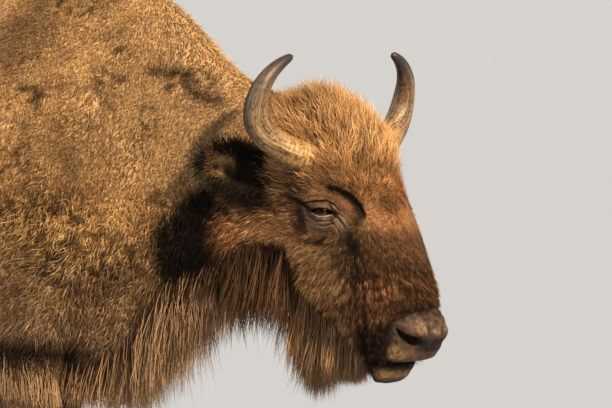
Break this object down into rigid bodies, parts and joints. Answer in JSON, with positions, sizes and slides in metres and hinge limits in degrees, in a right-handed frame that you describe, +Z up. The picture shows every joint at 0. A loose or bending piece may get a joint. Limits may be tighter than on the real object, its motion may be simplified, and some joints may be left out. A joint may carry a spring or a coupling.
{
  "type": "wisent",
  "caption": "Life-size standing wisent (European bison) with a shaggy brown coat, curved horns, beard and tufted tail, its head lowered and turned to its right.",
  "frame": {"origin": "middle of the footprint of the whole animal, on the floor under its hooves", "axes": "+X towards the head, +Y to the animal's left, +Z up"},
  "size_m": [2.6244, 0.7044, 1.6952],
  "materials": {
    "coat": "shaggy woolly hair, matte",
    "dark_coat": "dark brown hair, matte",
    "horn": "ridged keratin, satin towards the tip",
    "hoof": "worn dark keratin",
    "eye": "wet, glossy"
  },
  "bodies": {
    "root": {"hoof_front_right_inner": "hoof", "dewclaw_front_right_inner": "hoof", "hoof_front_right_outer": "hoof", "dewclaw_front_right_outer": "hoof", "leg_front_right": "dark_coat", "hoof_front_left_inner": "hoof", "dewclaw_front_left_inner": "hoof", "hoof_front_left_outer": "hoof", "dewclaw_front_left_outer": "hoof", "leg_front_left": "dark_coat", "hoof_hind_right_inner": "hoof", "dewclaw_hind_right_inner": "hoof", "hoof_hind_right_outer": "hoof", "dewclaw_hind_right_outer": "hoof", "leg_hind_right": "dark_coat", "hoof_hind_left_inner": "hoof", "dewclaw_hind_left_inner": "hoof", "hoof_hind_left_outer": "hoof", "dewclaw_hind_left_outer": "hoof", "leg_hind_left": "dark_coat", "horn_right": "horn", "ear_right": "dark_coat", "eye_right": "eye", "horn_left": "horn", "ear_left": "dark_coat", "eye_left": "eye", "tail": "dark_coat", "head": "coat", "neck": "coat", "trunk": "coat"}
  },
  "joints": []
}
